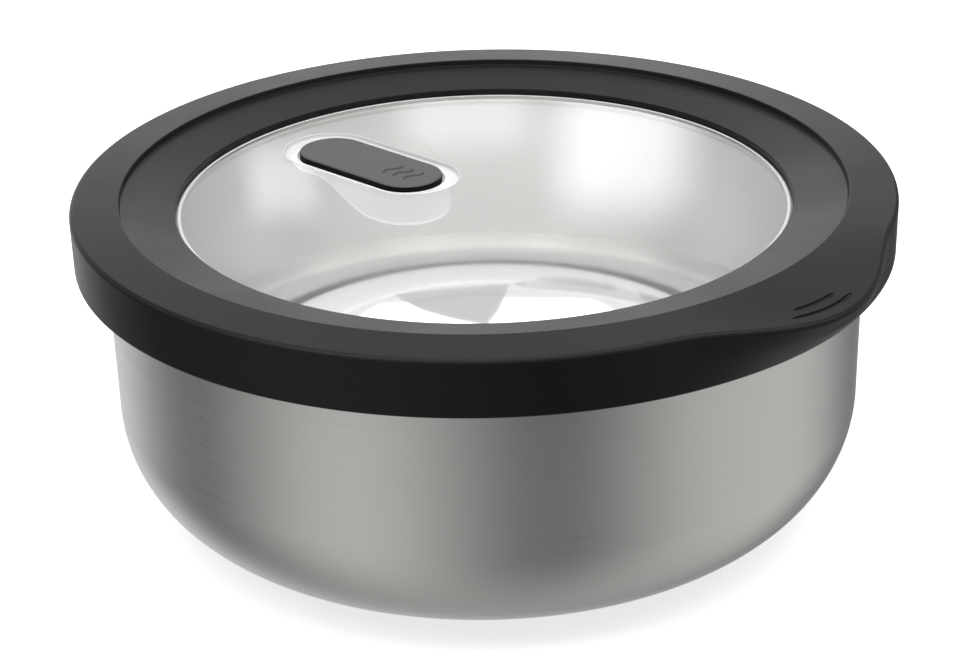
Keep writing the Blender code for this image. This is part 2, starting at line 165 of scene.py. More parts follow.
GROUPS = {
    "container_bowl": BowlSettings,
    "container_rim": RimSettings,
    "container_lid": LidSettings,
    "container_vent": VentSettings,
    "container_finish": FinishSettings,
}


# Shapes

def arc(centre_r, centre_z, radius, start, end, steps):
    """Points of a round stretch of a section, angles in degrees from +R towards +Z."""
    points = []
    for index in range(steps + 1):
        angle = math.radians(start + (end - start) * index / steps)
        points.append((centre_r + radius * math.cos(angle), centre_z + radius * math.sin(angle)))
    return points


def rounded(corners, closed=False, steps=5):
    """Points of a section of (radius, height, rounding) corners, with a holding point beside each round."""
    points = []
    count = len(corners)
    for index, (r, z, rounding) in enumerate(corners):
        here = Vector((r, z))
        open_end = not closed and index in (0, count - 1)
        if rounding == 0.0 or open_end:
            points.append((r, z))
            continue
        before = Vector(corners[index - 1][:2]) - here
        after = Vector(corners[(index + 1) % count][:2]) - here
        reach = min(rounding, 0.4 * before.length, 0.4 * after.length)
        first = here + before.normalized() * reach
        last = here + after.normalized() * reach
        points.append(tuple(here + before.normalized() * reach * 1.15))
        for step in range(steps + 1):
            share = step / steps
            points.append(tuple(first.lerp(here, share).lerp(here.lerp(last, share), share)))
        points.append(tuple(here + after.normalized() * reach * 1.15))
    return points


def turned(name, section, steps, closed=False, finish_from=None):
    """Turn a section round the Z axis; strips from the given point on take the second finish."""
    shape = bmesh.new()
    rings = []
    for r, z in section:
        if r < 0.001 * MM:
            rings.append([shape.verts.new((0.0, 0.0, z))] * steps)
            continue
        ring = []
        for step in range(steps):
            angle = 2 * math.pi * step / steps
            ring.append(shape.verts.new((r * math.cos(angle), r * math.sin(angle), z)))
        rings.append(ring)
    count = len(section)
    for index in range(count if closed else count - 1):
        first = rings[index]
        second = rings[(index + 1) % count]
        for step in range(steps):
            after = (step + 1) % steps
            corners = (first[step], first[after], second[after], second[step])
            face = shape.faces.new(list(dict.fromkeys(corners)))
            face.smooth = True
            face.material_index = int(finish_from is not None and index >= finish_from)
    bmesh.ops.recalc_face_normals(shape, faces=shape.faces)
    return as_object(name, shape)


def as_object(name, shape):
    """Make an object of a finished bmesh."""
    mesh = bpy.data.meshes.new(name)
    shape.to_mesh(mesh)
    shape.free()
    obj = bpy.data.objects.new(name, mesh)
    bpy.context.scene.collection.objects.link(obj)
    return obj


def slot_outline(half_width, near, far, steps):
    """Outline of a slot with round ends, lying along Y."""
    points = []
    for centre, start in ((far - half_width, 0.0), (near + half_width, math.pi)):
        for index in range(steps + 1):
            angle = start + math.pi * index / steps
            points.append((half_width * math.cos(angle), centre + half_width * math.sin(angle)))
    return points


def skin(shape, rings):
    """Join each ring of vertices to the next one with a strip of faces."""
    count = len(rings[0])
    for low, high in zip(rings, rings[1:]):
        for index in range(count):
            after = (index + 1) % count
            shape.faces.new((low[index], low[after], high[after], high[index]))


def pill(name, half_width, near, far, levels):
    """Slot-shaped block built up from (inset, height) levels, closed at both ends."""
    shape = bmesh.new()
    rings = []
    for inset, height in levels:
        outline = slot_outline(half_width - inset, near + inset, far - inset, 32)
        rings.append([shape.verts.new((x, y, height)) for x, y in outline])
    skin(shape, rings)
    shape.faces.new(rings[0][::-1])
    shape.faces.new(rings[-1])
    bmesh.ops.recalc_face_normals(shape, faces=shape.faces)
    return as_object(name, shape)


def ramped_pill(name, half_width, near, far, top, floor, seat, ramp, rounding):
    """Slot-shaped block with a rounded underside, low near the axis and rising in a soft ramp to the seat."""
    shape = bmesh.new()
    rings = []
    levels = [(rounding - r, rounding + z) for r, z in arc(0.0, 0.0, rounding, -90.0, 0.0, 6)]
    for inset, lift in levels + [(0.0, None)]:
        half = half_width - inset
        first = near + inset + half
        last = far - inset - half
        side = arc(0.0, first, half, -90.0, 0.0, 24)
        side += [(half, first + (last - first) * index / 48) for index in range(1, 48)]
        side += arc(0.0, last, half, 0.0, 90.0, 24)
        ring = []
        for x, y in side + [(-x, y) for x, y in side[-2:0:-1]]:
            share = min(max((y - ramp[0]) / (ramp[1] - ramp[0]), 0.0), 1.0)
            low = floor + (seat - floor) * share * share * (3 - 2 * share)
            ring.append(shape.verts.new((x, y, top if lift is None else low + lift)))
        rings.append(ring)
    skin(shape, rings)
    for ring in (rings[0], rings[-1]):
        for index in range(len(ring) // 2):
            corners = (ring[index], ring[index + 1], ring[-index - 1], ring[-index])
            shape.faces.new(list(dict.fromkeys(corners)))
    bmesh.ops.recalc_face_normals(shape, faces=shape.faces)
    return as_object(name, shape)


def bar(name, radius, centre, depth, axis):
    """Round bar with its middle at centre, along X or Z."""
    shape = bmesh.new()
    bmesh.ops.create_cone(shape, cap_ends=True, segments=32, radius1=radius, radius2=radius, depth=depth)
    turn = Matrix.Rotation(math.radians(90.0), 4, "Y") if axis == "X" else Matrix.Identity(4)
    bmesh.ops.transform(shape, matrix=Matrix.Translation(centre) @ turn, verts=shape.verts)
    return as_object(name, shape)


def tube(name, points, radius):
    """Round bar along a row of points that narrows towards both ends."""
    curve = bpy.data.curves.new(name, "CURVE")
    curve.dimensions = "3D"
    curve.bevel_depth = radius
    curve.bevel_resolution = 4
    curve.use_fill_caps = True
    spline = curve.splines.new("POLY")
    spline.points.add(len(points) - 1)
    last = len(points) - 1
    for index, (point, place) in enumerate(zip(spline.points, points)):
        point.co = (*place, 1.0)
        point.radius = min(1.0, 0.25 + 0.25 * min(index, last - index))
    obj = bpy.data.objects.new(name, curve)
    bpy.context.scene.collection.objects.link(obj)
    return settle(obj)


def settle(obj):
    """Put an object's modifiers or curve into a plain mesh."""
    bpy.context.view_layer.update()
    evaluated = obj.evaluated_get(bpy.context.evaluated_depsgraph_get())
    mesh = bpy.data.meshes.new_from_object(evaluated)
    name = obj.name
    bpy.data.objects.remove(obj)
    result = bpy.data.objects.new(name, mesh)
    bpy.context.scene.collection.objects.link(result)
    return result


def combine(target, *steps):
    """Join tools to the target or cut them out of it, then drop the tools."""
    for operation, tool in steps:
        modifier = target.modifiers.new(operation.lower(), "BOOLEAN")
        modifier.operation = operation
        modifier.object = tool
        modifier.solver = "EXACT"
    target = settle(target)
    for operation, tool in steps:
        bpy.data.objects.remove(tool)
    return target


def shade(obj, angle):
    """Smooth shading that keeps flat faces flat and edges sharper than an angle in degrees."""
    obj.data.shade_smooth()
    obj.data.set_sharp_from_angle(angle=math.radians(angle))
    weighted = obj.modifiers.new("flat_faces", "WEIGHTED_NORMAL")
    weighted.keep_sharp = True


def place(obj, body, node, slot, *finishes):
    """Ride a piece on its body, let it stand for its node and give it its finishes."""
    for finish in finishes:
        obj.data.materials.append(finish)
    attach(obj, body)
    if node:
        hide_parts(node)


# Finishes

# Most of a noise lies in this span, which a finish spreads over its range of roughness
NOISE_SPAN = {"From Min": 0.3, "From Max": 0.7}


def new_finish(name):
    """An empty node material."""
    material = bpy.data.materials.new(name)
    material.use_nodes = True
    material.node_tree.nodes.clear()
    return material


def add_node(material, kind, values=None, links=None, **settings):
    """Add a node with its settings, socket values and links from other nodes or their sockets."""
    node = material.node_tree.nodes.new(kind)
    for key, value in settings.items():
        setattr(node, key, value)
    for socket, value in (values or {}).items():
        node.inputs[socket].default_value = value
    for socket, source in (links or {}).items():
        output = source.outputs[0] if isinstance(source, bpy.types.Node) else source
        material.node_tree.links.new(output, node.inputs[socket])
    return node


def turned_grain(material, across, along):
    """Noise drawn out round the axis: fine lines that circle the wall and ring the base."""
    where = add_node(material, "ShaderNodeTexCoord").outputs["Object"]
    parts = add_node(material, "ShaderNodeSeparateXYZ", links={0: where})
    flat = add_node(material, "ShaderNodeVectorMath", {1: (1.0, 1.0, 0.0)}, {0: where}, operation="MULTIPLY")
    radius = add_node(material, "ShaderNodeVectorMath", links={0: flat}, operation="LENGTH")
    height = add_node(material, "ShaderNodeMath", links={0: radius.outputs["Value"], 1: parts.outputs["Z"]},
                      operation="SUBTRACT")
    lines = add_node(material, "ShaderNodeMath", {1: 1.0 / across}, {0: height}, operation="MULTIPLY")
    spread = add_node(material, "ShaderNodeVectorMath", {"Scale": 1.0 / along}, {0: flat}, operation="SCALE")
    split = add_node(material, "ShaderNodeSeparateXYZ", links={0: spread})
    vector = add_node(material, "ShaderNodeCombineXYZ",
                      links={"X": split.outputs["X"], "Y": split.outputs["Y"], "Z": lines})
    return add_node(material, "ShaderNodeTexNoise", {"Scale": 1.0, "Detail": 2.0}, {"Vector": vector})


def turned_steel(material, lines, rough, tint, depth, streak):
    """Finish a steel whose turned lines, of a depth, draw its highlights out upright."""
    around = add_node(material, "ShaderNodeTangent", direction_type="RADIAL", axis="Z")
    bump = add_node(material, "ShaderNodeBump", {"Distance": depth}, {"Height": lines})
    steel = add_node(material, "ShaderNodeBsdfPrincipled",
                     {"Base Color": tint, "Metallic": 1.0,
                      "Anisotropic": streak, "Anisotropic Rotation": 0.25},
                     {"Roughness": rough, "Normal": bump, "Tangent": around})
    add_node(material, "ShaderNodeOutputMaterial", links={"Surface": steel})
    return material


def brushed_steel(tint):
    """Drawn 18/8 stainless steel, satin-brushed on a lathe: soft bright and dark bands run up the wall
    and fine lines circle it. The lines are drawn at 0.4 mm, coarser than the real ones, so that they show."""
    material = new_finish("stainless_steel_satin_brushed")
    lines = turned_grain(material, across=0.4 * MM, along=60.0 * MM)
    rough = add_node(material, "ShaderNodeMapRange",
                     {**NOISE_SPAN, "To Min": 0.29, "To Max": 0.37}, {"Value": lines})
    return turned_steel(material, lines, rough, tint, depth=0.003 * MM, streak=0.5)


def buffed_steel(tint):
    """The same steel, buffed inside: bright and cloudy, with soft upright highlights and faint turning lines.
    The pressed base keeps the sheet's smoother mill finish, so it mirrors more sharply than the wall."""
    material = new_finish("stainless_steel_buffed")
    lines = turned_grain(material, across=0.5 * MM, along=30.0 * MM)
    where = add_node(material, "ShaderNodeTexCoord").outputs["Object"]
    height = add_node(material, "ShaderNodeSeparateXYZ", links={0: where}).outputs["Z"]
    wall = add_node(material, "ShaderNodeMapRange",
                    {"From Min": 15.0 * MM, "From Max": 30.0 * MM, "To Min": 0.04, "To Max": 0.30},
                    {"Value": height}, interpolation_type="SMOOTHSTEP")
    rough = add_node(material, "ShaderNodeMath", {1: 0.05}, {0: lines, 2: wall}, operation="MULTIPLY_ADD")
    return turned_steel(material, lines, rough, tint, depth=0.001 * MM, streak=0.75)


def soft_rim_finish(name, tint, gloss):
    """Thermoplastic elastomer from a spark-eroded mould: near-black, dull, and pale where light grazes it.
    The mould's grit is about 0.1 mm and is drawn at 0.25 mm so that it shows."""
    material = new_finish(name)
    where = add_node(material, "ShaderNodeTexCoord").outputs["Object"]
    grit = add_node(material, "ShaderNodeTexNoise",
                    {"Scale": 1.0 / (0.25 * MM), "Detail": 3.0}, {"Vector": where})
    flow = add_node(material, "ShaderNodeTexNoise",
                    {"Scale": 1.0 / (18.0 * MM), "Detail": 2.0}, {"Vector": where})
    rough = add_node(material, "ShaderNodeMapRange",
                     {**NOISE_SPAN, "To Min": 0.30, "To Max": 0.36}, {"Value": flow})
    bump = add_node(material, "ShaderNodeBump", {"Distance": 0.012 * MM}, {"Height": grit})
    rubber = add_node(material, "ShaderNodeBsdfPrincipled",
                      {"Base Color": tint, "IOR": 1.44, "Specular IOR Level": gloss},
                      {"Roughness": rough, "Normal": bump})
    add_node(material, "ShaderNodeOutputMaterial", links={"Surface": rubber})
    return material


def clear_panel_finish(tint):
    """Clear copolyester from a polished mould: glass-like, with a faint haze from handling."""
    material = new_finish("copolyester_clear_polished")
    where = add_node(material, "ShaderNodeTexCoord").outputs["Object"]
    haze = add_node(material, "ShaderNodeTexNoise",
                    {"Scale": 1.0 / (9.0 * MM), "Detail": 4.0}, {"Vector": where})
    rough = add_node(material, "ShaderNodeMapRange",
                     {**NOISE_SPAN, "To Min": 0.0, "To Max": 0.03}, {"Value": haze})
    clear = add_node(material, "ShaderNodeBsdfPrincipled",
                     {"Base Color": tint, "IOR": 1.5, "Transmission Weight": 1.0}, {"Roughness": rough})
    add_node(material, "ShaderNodeOutputMaterial", links={"Surface": clear})
    return material


def moulded_finish(name, grain, detail, depth, low, high, sockets):
    """Moulded surface whose grain, of a size and depth, makes it bumpy and its roughness uneven."""
    material = new_finish(name)
    where = add_node(material, "ShaderNodeTexCoord").outputs["Object"]
    texture = add_node(material, "ShaderNodeTexNoise",
                       {"Scale": 1.0 / grain, "Detail": detail}, {"Vector": where})
    rough = add_node(material, "ShaderNodeMapRange",
                     {**NOISE_SPAN, "To Min": low, "To Max": high}, {"Value": texture})
    bump = add_node(material, "ShaderNodeBump", {"Distance": depth}, {"Height": texture})
    surface = add_node(material, "ShaderNodeBsdfPrincipled", sockets, {"Roughness": rough, "Normal": bump})
    add_node(material, "ShaderNodeOutputMaterial", links={"Surface": surface})
    return material


def frosted_painted_glow_finish(name, tint, glow):
    """The same copolyester where its mould is fine-blasted: milky round the vent and at the panel's edges,
    with a painted glow from its emission.
    The milky band at the plate's edge is a painted highlight. The pits of about 0.05 mm are drawn at 0.3 mm."""
    # Emission Strength is a painted glow
    return moulded_finish(name, grain=0.3 * MM, detail=3.0, depth=0.001 * MM, low=0.28, high=0.32, sockets={
        "Base Color": tint, "IOR": 1.5, "Transmission Weight": 0.4, "Emission Strength": glow})


def seal_finish(name, tint):
    """Moulded silicone rubber: milky, softly dull and slightly see-through at its lips."""
    return moulded_finish(name, grain=0.6 * MM, detail=3.0, depth=0.006 * MM, low=0.48, high=0.6, sockets={
        "Base Color": tint, "IOR": 1.41, "Subsurface Weight": 0.15, "Subsurface Scale": 0.8 * MM})


def rocker_finish(name, tint, gloss, low, high):
    """ABS from a fine-grained mould: an even grey with a dull sheen. Its 0.1 mm grain is drawn at 0.3 mm."""
    return moulded_finish(name, grain=0.3 * MM, detail=2.0, depth=0.008 * MM, low=low, high=high, sockets={
        "Base Color": tint, "IOR": 1.53, "Specular IOR Level": gloss})


# Pieces

def base_ring(settings, height):
    """Corners of the base from the axis out, with the ring that is pressed up out of it."""
    radius = settings.bead_radius
    rise = settings.bead_rise
    return [
        (0.0, height, 0.0),
        (radius - 2.3 * MM, height, 0.8 * MM),
        (radius - 1.0 * MM, height + rise, 0.8 * MM),
        (radius + 1.0 * MM, height + rise, 0.8 * MM),
        (radius + 2.3 * MM, height, 0.8 * MM),
        (settings.low_radius - settings.corner - 0.5 * MM, height, 0.0),
    ]


class CONTAINER_OT_bowl(bpy.types.Operator):
    """Drawn steel bowl with a curled rim and a ring pressed into its base"""
    bl_idname = "container.bowl"
    bl_label = "Bowl"

    def execute(self, context):
        size = context.scene.container_bowl
        finish = context.scene.container_finish
        corner = size.low_radius - size.corner
        curl = size.top_radius - size.wall + size.curl
        end = -80.0
        half = size.wall / 2
        tip = arc(curl, size.curl_height, size.curl - half, end, end, 1)[0]
        # The buffed inside ends at 60 degrees on the curl, and the brushed outside starts there
        inside = rounded(base_ring(size, size.wall))
        inside += arc(corner, size.corner, size.corner - size.wall, -90.0, 0.0, 28)
        inside += arc(curl, size.curl_height, size.curl, 180.0, 60.0, 12)
        outside = arc(curl, size.curl_height, size.curl, 50.0, end, 12)
        outside += arc(tip[0], tip[1], half, end - 30.0, end - 150.0, 4)
        outside += arc(curl, size.curl_height, size.curl - size.wall, end, 180.0, 20)
        outside += arc(corner, size.corner, size.corner, 0.0, -90.0, 30)
        outside += rounded(base_ring(size, 0.0))[::-1]
        bowl = turned("steel_bowl", inside + outside, 320, finish_from=len(inside) - 1)
        buffed = buffed_steel(finish.steel_inside)
        place(bowl, "bowl", "bowl", "steel", buffed, brushed_steel(finish.steel_outside))
        return {"FINISHED"}


def rim_section(size, lid):
    """Section of the rim: inner band, crease, outer band, edge, skirt with snap bead and underside."""
    band_end = size.top - size.band_fall
    edge_start = 80.0
    edge_r = size.radius - size.edge
    edge_z = band_end - size.edge * math.sin(math.radians(edge_start))
    skirt_taper = 0.2 * MM
    inner_wall = 87.6 * MM
    bead = 86.7 * MM
    opening_low = lid.top - 0.4 * MM
    top = rounded([
        (size.opening, opening_low, 0.0),
        (size.opening, size.opening_top, 0.25 * MM),
        (size.crease - 0.3 * MM, size.top - size.crease_step, 0.2 * MM),
        (size.crease, size.top, 0.25 * MM),
        (edge_r, band_end, 0.0),
    ])[1:-1]
    for share in (0.3, 0.55, 0.8):
        top.append((size.crease + share * (edge_r - size.crease), size.top - share * size.band_fall))
    edge = arc(edge_r, edge_z, size.edge, edge_start, 0.0, 12)
    skirt = []
    for share in (0.25, 0.5, 0.75):
        skirt.append((size.radius - skirt_taper * share, edge_z + share * (size.bottom - edge_z)))
    under = rounded([
        (size.radius - 0.75 * skirt_taper, size.bottom + 3.0 * MM, 0.0),
        (size.radius - skirt_taper, size.bottom, 0.6 * MM),
        (inner_wall, size.bottom, 0.5 * MM),
        (bead, size.bottom + 1.2 * MM, 0.2 * MM),
        (bead, size.bottom + 1.7 * MM, 0.2 * MM),
        (inner_wall, size.bottom + 2.6 * MM, 0.3 * MM),
        (inner_wall, FLANGE_TOP + CLEARANCE, 0.4 * MM),
        (size.crease + 0.5 * MM, FLANGE_TOP + CLEARANCE, 0.1 * MM),
        (size.crease - 0.8 * MM, FLANGE_TOP - 0.9 * MM, 0.1 * MM),
        (size.opening + 1.2 * MM, lid.top - 0.1 * MM, 0.0),
        (size.opening, opening_low, 0.0),
    ])[1:]
    return top + edge + skirt + under


def tab_moved(size, r, z, angle):
    """Where a point of the rim's outside goes when the thumb tab is drawn out of it."""
    half_angle = math.radians(24.0)
    outside = z > FLANGE_TOP + 0.6 * MM or r > size.radius - 1.4 * MM
    if not outside or abs(angle) >= half_angle:
        return r, z
    root = 80.0 * MM
    swell = math.cos(0.5 * math.pi * angle / half_angle) ** 2
    outward = min(max((r - root) / (8.0 * MM), 0.0), 1.0)
    upward = min(max((z - size.bottom) / (10.0 * MM), 0.0), 1.0)
    weight = swell * outward * upward
    return r + size.tab_reach * weight, z - size.tab_drop * weight


# Grip grooves on the thumb tab: name, radius before the tab is drawn out, and half their length in degrees
GROOVES = (
    ("upper_groove", 85.9 * MM, 3.8),
    ("lower_groove", 87.3 * MM, 5.5),
)
GROOVE_MIDDLE = -1.5
GROOVE_DEPTH = 0.55 * MM


def groove_path(size, radius, half_angle):
    """Points of a grip groove that follows the top of the thumb tab."""
    share = (radius - size.crease) / (size.radius - size.edge - size.crease)
    height = size.top - share * size.band_fall
    half_steps = 16
    points = []
    for index in range(2 * half_steps + 1):
        angle = math.radians(half_angle * (index / half_steps - 1) + GROOVE_MIDDLE)
        r, z = tab_moved(size, radius, height, angle)
        points.append((r * math.sin(angle), -r * math.cos(angle), z))
    return points


class CONTAINER_OT_rim(bpy.types.Operator):
    """Soft dark rim with its crease, skirt, snap bead, thumb tab and grip grooves"""
    bl_idname = "container.rim"
    bl_label = "Soft rim"

    def execute(self, context):
        size = context.scene.container_rim
        finish = context.scene.container_finish
        rim = turned("soft_rim", rim_section(size, context.scene.container_lid), 480, closed=True)
        for vertex in rim.data.vertices:
            radius = math.hypot(vertex.co.x, vertex.co.y)
            angle = math.atan2(vertex.co.x, -vertex.co.y)
            r, z = tab_moved(size, radius, vertex.co.z, angle)
            vertex.co = (vertex.co.x * r / radius, vertex.co.y * r / radius, z)
        cuts = []
        for name, radius, half_angle in GROOVES:
            cuts.append(("DIFFERENCE", tube(name, groove_path(size, radius, half_angle), GROOVE_DEPTH)))
        rim = combine(rim, *cuts)
        shade(rim, 40.0)
        # Faces that lean more than about 20 degrees take the side's finish, the same rubber with less gloss
        # as painted shade on the skirt, edges and steps
        for polygon in rim.data.polygons:
            polygon.material_index = int(polygon.normal.z < 0.93)
        bands = soft_rim_finish("thermoplastic_elastomer_matte", finish.rim, 0.5)
        side = soft_rim_finish("thermoplastic_elastomer_painted_shade_side", finish.rim_painted_shade_side, 0.2)
        place(rim, "lid", "lid_rim", "soft_rim", bands, side)
        return {"FINISHED"}


def panel_section(size):
    """Section of the clear panel: raised plate, seat of the rim, flange, plug ring and underside."""
    plug = size.plug_radius
    plug_inside = plug - 1.6 * MM
    plug_root = 69.0 * MM
    return rounded([
        (0.0, size.top, 0.0),
        (size.plate_radius - size.painted_highlight_band, size.top, 0.0),
        (size.plate_radius, size.top, 0.25 * MM),
        (size.plate_radius, size.top - 0.8 * MM, 0.2 * MM),
        (68.8 * MM, 69.0 * MM, 0.2 * MM),
        (78.8 * MM, 70.75 * MM, 0.3 * MM),
        (80.3 * MM, FLANGE_TOP, 0.3 * MM),
        (size.flange_radius, FLANGE_TOP, 0.3 * MM),
        (size.flange_radius, FLANGE_UNDERSIDE, 0.2 * MM),
        (plug, FLANGE_UNDERSIDE, 0.2 * MM),
        (plug, size.plug_bottom, 0.7 * MM),
        (plug_inside, size.plug_bottom, 0.4 * MM),
        (plug_inside, plug_root, 0.4 * MM),
        (69.0 * MM, size.underside, 0.6 * MM),
        (0.0, size.underside, 0.0),
    ])


def tray_slot(vent):
    """Half width, inner end and outer end of the tray round the rocker."""
    return vent.half_width + vent.ledge, vent.near - 4.2 * MM, vent.far + 3.9 * MM


def vent_steps(size, vent):
    """The pocket's shell to join to the panel, and the tray, cavity, hole and sockets to cut out of it."""
    wall = 1.2 * MM
    gap = 0.6 * MM
    half = vent.half_width + gap
    near = vent.near - gap
    far = vent.far + gap
    above = size.top + 2.0 * MM
    ramp = (26.5 * MM, 43.0 * MM)
    shell = ramped_pill("vent_shell", half + 1.4 * MM, near - wall, far + wall, vent.tray_floor - 0.5 * MM,
                        vent.pocket_floor - wall, VENT_SEAT - wall, ramp, 1.8 * MM)
    cavity = ramped_pill("vent_cavity", half, near, far, above, vent.pocket_floor, VENT_SEAT, ramp, 0.8 * MM)
    foot = 0.5 * MM
    lip = 0.3 * MM
    levels = []
    for r, z in arc(0.0, 0.0, foot, -90.0, 0.0, 6):
        levels.append((foot - r, vent.tray_floor + foot + z))
    for r, z in arc(0.0, 0.0, lip, 0.0, 90.0, 6):
        levels.append((r - lip, size.top - lip + z))
    levels.append((-lip, above))
    tray = pill("vent_tray", *tray_slot(vent), levels)
    hole = bar("vent_hole", 1.6 * MM, (0.0, VENT_HOLE_Y, VENT_SEAT), 6.0 * MM, "Z")
    sockets = bar("pivot_sockets", 1.2 * MM, (0.0, PIVOT_Y, PIVOT_Z), 18.4 * MM, "X")
    return [("UNION", shell)] + [("DIFFERENCE", tool) for tool in (tray, cavity, hole, sockets)]


def frost(panel, size, vent):
    """Turn the tray, the pocket and the plate's edge milky; the milky band at the plate's edge is a painted
    highlight, and the pocket's lower edge takes the stronger painted glow.
    """
    half, near, far = tray_slot(vent)
    band_middle = size.plate_radius - size.painted_highlight_band / 2
    by_vent = []
    on_painted_highlight_band = []
    for vertex in panel.data.vertices:
        x, y, z = vertex.co
        middle = min(max(y, near + half), far - half)
        by_vent.append(math.hypot(x, y - middle) < half + 0.32 * MM)
        from_band = abs(math.hypot(x, y) - band_middle)
        on_painted_highlight_band.append(from_band < size.painted_highlight_band / 2 + 0.1 * MM and z > vent.tray_floor)
    for polygon in panel.data.polygons:
        milky = any(all(group[index] for index in polygon.vertices) for group in (by_vent, on_painted_highlight_band))
        lower_edge_painted_glow = -0.92 < polygon.normal.z < -0.2 and polygon.center.z < vent.tray_floor - 1.5 * MM
        # Milky faces take the faint painted glow, and the pocket's lower edge the stronger one
        polygon.material_index = int(milky) + int(milky and lower_edge_painted_glow)


class CONTAINER_OT_window(bpy.types.Operator):
    """Clear panel with the tray, pocket, vent hole and pivot sockets of the steam vent"""
    bl_idname = "container.window"
    bl_label = "Clear window"

    def execute(self, context):
        size = context.scene.container_lid
        vent = context.scene.container_vent
        tint = context.scene.container_finish.window
        panel = turned("clear_panel", panel_section(size), 240)
        panel = combine(panel, *vent_steps(size, vent))
        frost(panel, size, vent)
        shade(panel, 35.0)
        # The frosted finishes carry a painted glow: faint on the tray, pocket and edge band, stronger on the
        # pocket's lower edge
        place(panel, "lid", "lid_window", "clear_panel", clear_panel_finish(tint),
              frosted_painted_glow_finish("copolyester_frosted_faint_painted_glow", tint, 0.06),
              frosted_painted_glow_finish("copolyester_edge_painted_glow", tint, 0.25))
        panel.visible_shadow = False
        return {"FINISHED"}


class CONTAINER_OT_seal(bpy.types.Operator):
    """Seal ring with two lips in the channel over the curled rim"""
    bl_idname = "container.seal"
    bl_label = "Seal ring"

    def execute(self, context):
        low = SEAL_LOW[2]
        high = SEAL_HIGH[2]
        outer = SEAL_HIGH[0]
        inner = 82.1 * MM
        lip = 0.6 * MM
        section = rounded([
            (inner + 0.2 * MM, high, 0.3 * MM),
            (outer - 0.2 * MM, high, 0.3 * MM),
            (outer, low + lip, 0.2 * MM),
            (outer - lip, low, 0.25 * MM),
            (outer - 2 * lip, low + lip, 0.2 * MM),
            (inner + 2 * lip, low + lip, 0.2 * MM),
            (inner + lip, low, 0.25 * MM),
            (inner, low + lip, 0.2 * MM),
        ], closed=True, steps=4)
        seal = turned("seal_ring", section, 240, closed=True)
        tint = context.scene.container_finish.seal
        place(seal, "lid", "lid_seal", "seal_silicone", seal_finish("silicone_rubber_milky", tint))
        return {"FINISHED"}


def steam_mark(height):
    """Three waves side by side on the rocker's inner end, pressed flat."""
    wave_length = 6.2 * MM
    wave_swing = 0.8 * MM
    line_radius = 0.42 * MM
    flattening = 0.45
    steps = 24
    waves = []
    for middle in (21.4 * MM, 24.6 * MM, 27.8 * MM):
        points = []
        for index in range(steps + 1):
            share = index / steps
            x = (share - 0.5) * wave_length
            y = middle + wave_swing * math.sin(2 * math.pi * share)
            points.append((x, y, height))
        waves.append(tube("wave", points, line_radius))
    mark = combine(waves[0], ("UNION", waves[1]), ("UNION", waves[2]))
    mark.name = "steam_mark"
    for vertex in mark.data.vertices:
        vertex.co.z = height + flattening * (vertex.co.z - height)
    mark.data.shade_smooth()
    return mark


class CONTAINER_OT_rocker(bpy.types.Operator):
    """Vent rocker with its pivot lugs, and the steam mark on its inner end"""
    bl_idname = "container.rocker"
    bl_label = "Vent rocker"

    def execute(self, context):
        size = context.scene.container_vent
        finish = context.scene.container_finish
        low = size.top - 2.1 * MM
        edge = 0.5 * MM
        levels = [(0.35 * MM, low), (0.1 * MM, low + 0.1 * MM), (0.0, low + 0.35 * MM)]
        for r, z in arc(0.0, 0.0, edge, 0.0, 90.0, 6):
            levels.append((edge - r, size.top - edge + z))
        rocker = pill("vent_rocker_cap", size.half_width, size.near, size.far, levels)
        steps = []
        for side in (-1, 1):
            lug = bar("lug", 1.55 * MM, (side * 6.7 * MM, PIVOT_Y, PIVOT_Z + 0.55 * MM), 1.4 * MM, "X")
            trunnion = bar("trunnion", 0.9 * MM, (side * 7.45 * MM, PIVOT_Y, PIVOT_Z), 2.9 * MM, "X")
            steps += [("UNION", lug), ("UNION", trunnion)]
        steps.append(("DIFFERENCE", bar("stem_hole", 1.6 * MM, (0.0, VENT_HOLE_Y, low), 2.6 * MM, "Z")))
        rocker = combine(rocker, *steps)
        shade(rocker, 35.0)
        # The rounded edge is the top's down to about 53 degrees, and the side's below that; the near-black
        # side is painted shade on the same grey plastic
        for polygon in rocker.data.polygons:
            polygon.material_index = int(polygon.normal.z < 0.6)
        top = rocker_finish("abs_fine_grained_top", finish.rocker, 0.5, 0.42, 0.52)
        side = rocker_finish("abs_painted_shade_side", finish.rocker_painted_shade_side, 0.1, 0.55, 0.65)
        place(rocker, "vent", "vent_rocker", "vent_plastic", top, side)
        inlay = rocker_finish("abs_dark_inlay", finish.mark, 0.5, 0.4, 0.5)
        place(steam_mark(size.top), "vent", None, "vent_plastic", inlay)
        return {"FINISHED"}


class CONTAINER_OT_vent_seal(bpy.types.Operator):
    """Silicone button under the rocker that closes the vent hole"""
    bl_idname = "container.vent_seal"
    bl_label = "Vent seal"

    def execute(self, context):
        low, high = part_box("vent_seal")
        stem = 1.3 * MM
        shoulder = 67.3 * MM
        section = rounded([
            (0.0, high[2], 0.0),
            (stem, high[2], 0.3 * MM),
            (stem, shoulder, 0.15 * MM),
            (high[0], shoulder, 0.25 * MM),
            (high[0], low[2], 0.25 * MM),
            (0.0, low[2], 0.0),
        ])
        seal = turned("vent_seal_button", section, 96)
        seal.data.transform(Matrix.Translation((0.0, (low[1] + high[1]) / 2, 0.0)))
        tint = context.scene.container_finish.vent_seal
        place(seal, "vent", "vent_seal", "vent_silicone", seal_finish("silicone_rubber_grey", tint))
        return {"FINISHED"}


# Stage

